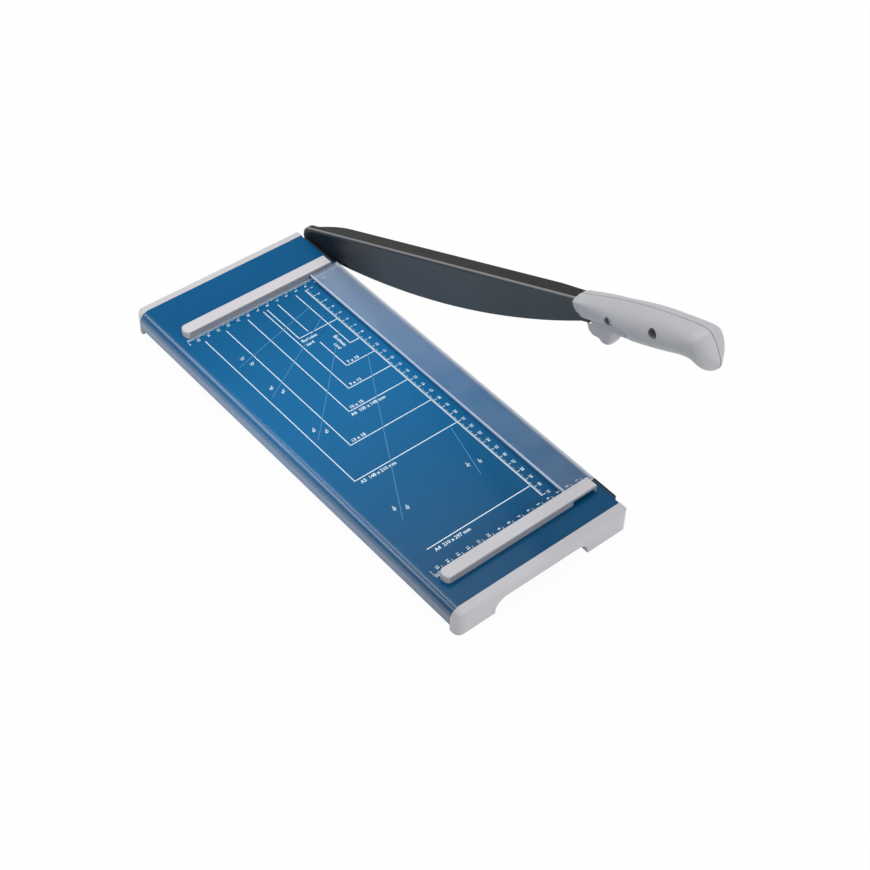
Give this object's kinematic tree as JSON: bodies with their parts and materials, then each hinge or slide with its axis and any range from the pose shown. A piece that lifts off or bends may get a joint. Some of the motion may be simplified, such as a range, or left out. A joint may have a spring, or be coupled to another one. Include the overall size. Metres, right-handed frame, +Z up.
{
  "type": "lever paper trimmer",
  "caption": "Desk trimmer: a folded metal table on moulded ends with paper stops, a clear guard strip and a curved lever knife with a grip handle on a side pivot.",
  "frame": {"origin": "zero corner of the work table: the cutting edge at the working face of the far stop, at table height, 24 mm above the desk", "axes": "+Z up, +Y along the cut towards the knife's pivot, +X out of the table past the cutting edge"},
  "size_m": [0.1932, 0.4706, 0.2294],
  "materials": {
    "table_paint": "satin blue powder coat with fine white print",
    "cap_plastic": "light grey, fine moulded texture",
    "stop_plastic": "light grey, fine moulded texture",
    "foot_rubber": "soft black",
    "zinc_steel": "bright zinc plate",
    "rail_steel": "plain drawn steel",
    "counter_steel": "black oxide with a ground edge",
    "counter_screw_steel": "black oxide",
    "guard_clear": "clear moulded plastic with polished edges",
    "spring_steel": "blued spring steel",
    "blade_steel": "dark coating, ground cutting edge",
    "arm_coating": "dark satin coating",
    "arm_screw_steel": "black oxide",
    "bush_bronze": "sintered bronze",
    "handle_plastic": "light grey, satin"
  },
  "bodies": {
    "base": {"table_plate": "table_paint", "near_end_cap": "cap_plastic", "far_end_cap": "cap_plastic", "rubber_feet": "foot_rubber", "cap_screws": "zinc_steel", "bed_rail": "rail_steel", "counter_blade": "counter_steel", "counter_blade_screws": "counter_screw_steel", "far_stop": "stop_plastic", "near_stop": "stop_plastic", "stop_screws": "zinc_steel", "guard_strip": "guard_clear", "pivot_bolt": "zinc_steel", "pivot_washer": "zinc_steel", "pivot_spring_discs": "spring_steel", "pivot_nut": "zinc_steel"},
    "knife": {"upper_blade": "blade_steel", "knife_arm": "arm_coating", "blade_screws": "arm_screw_steel", "pivot_bush": "bush_bronze", "handle_left": "handle_plastic", "handle_right": "handle_plastic", "handle_screws": "zinc_steel", "handle_nuts": "zinc_steel"}
  },
  "joints": [
    {"name": "knife_pivot", "type": "hinge", "parent": "base", "child": "knife", "pos_m": [0, 0.033, -0.008], "axis": [-1, 0, 0], "range_deg": [-23.6, 36]}
  ]
}
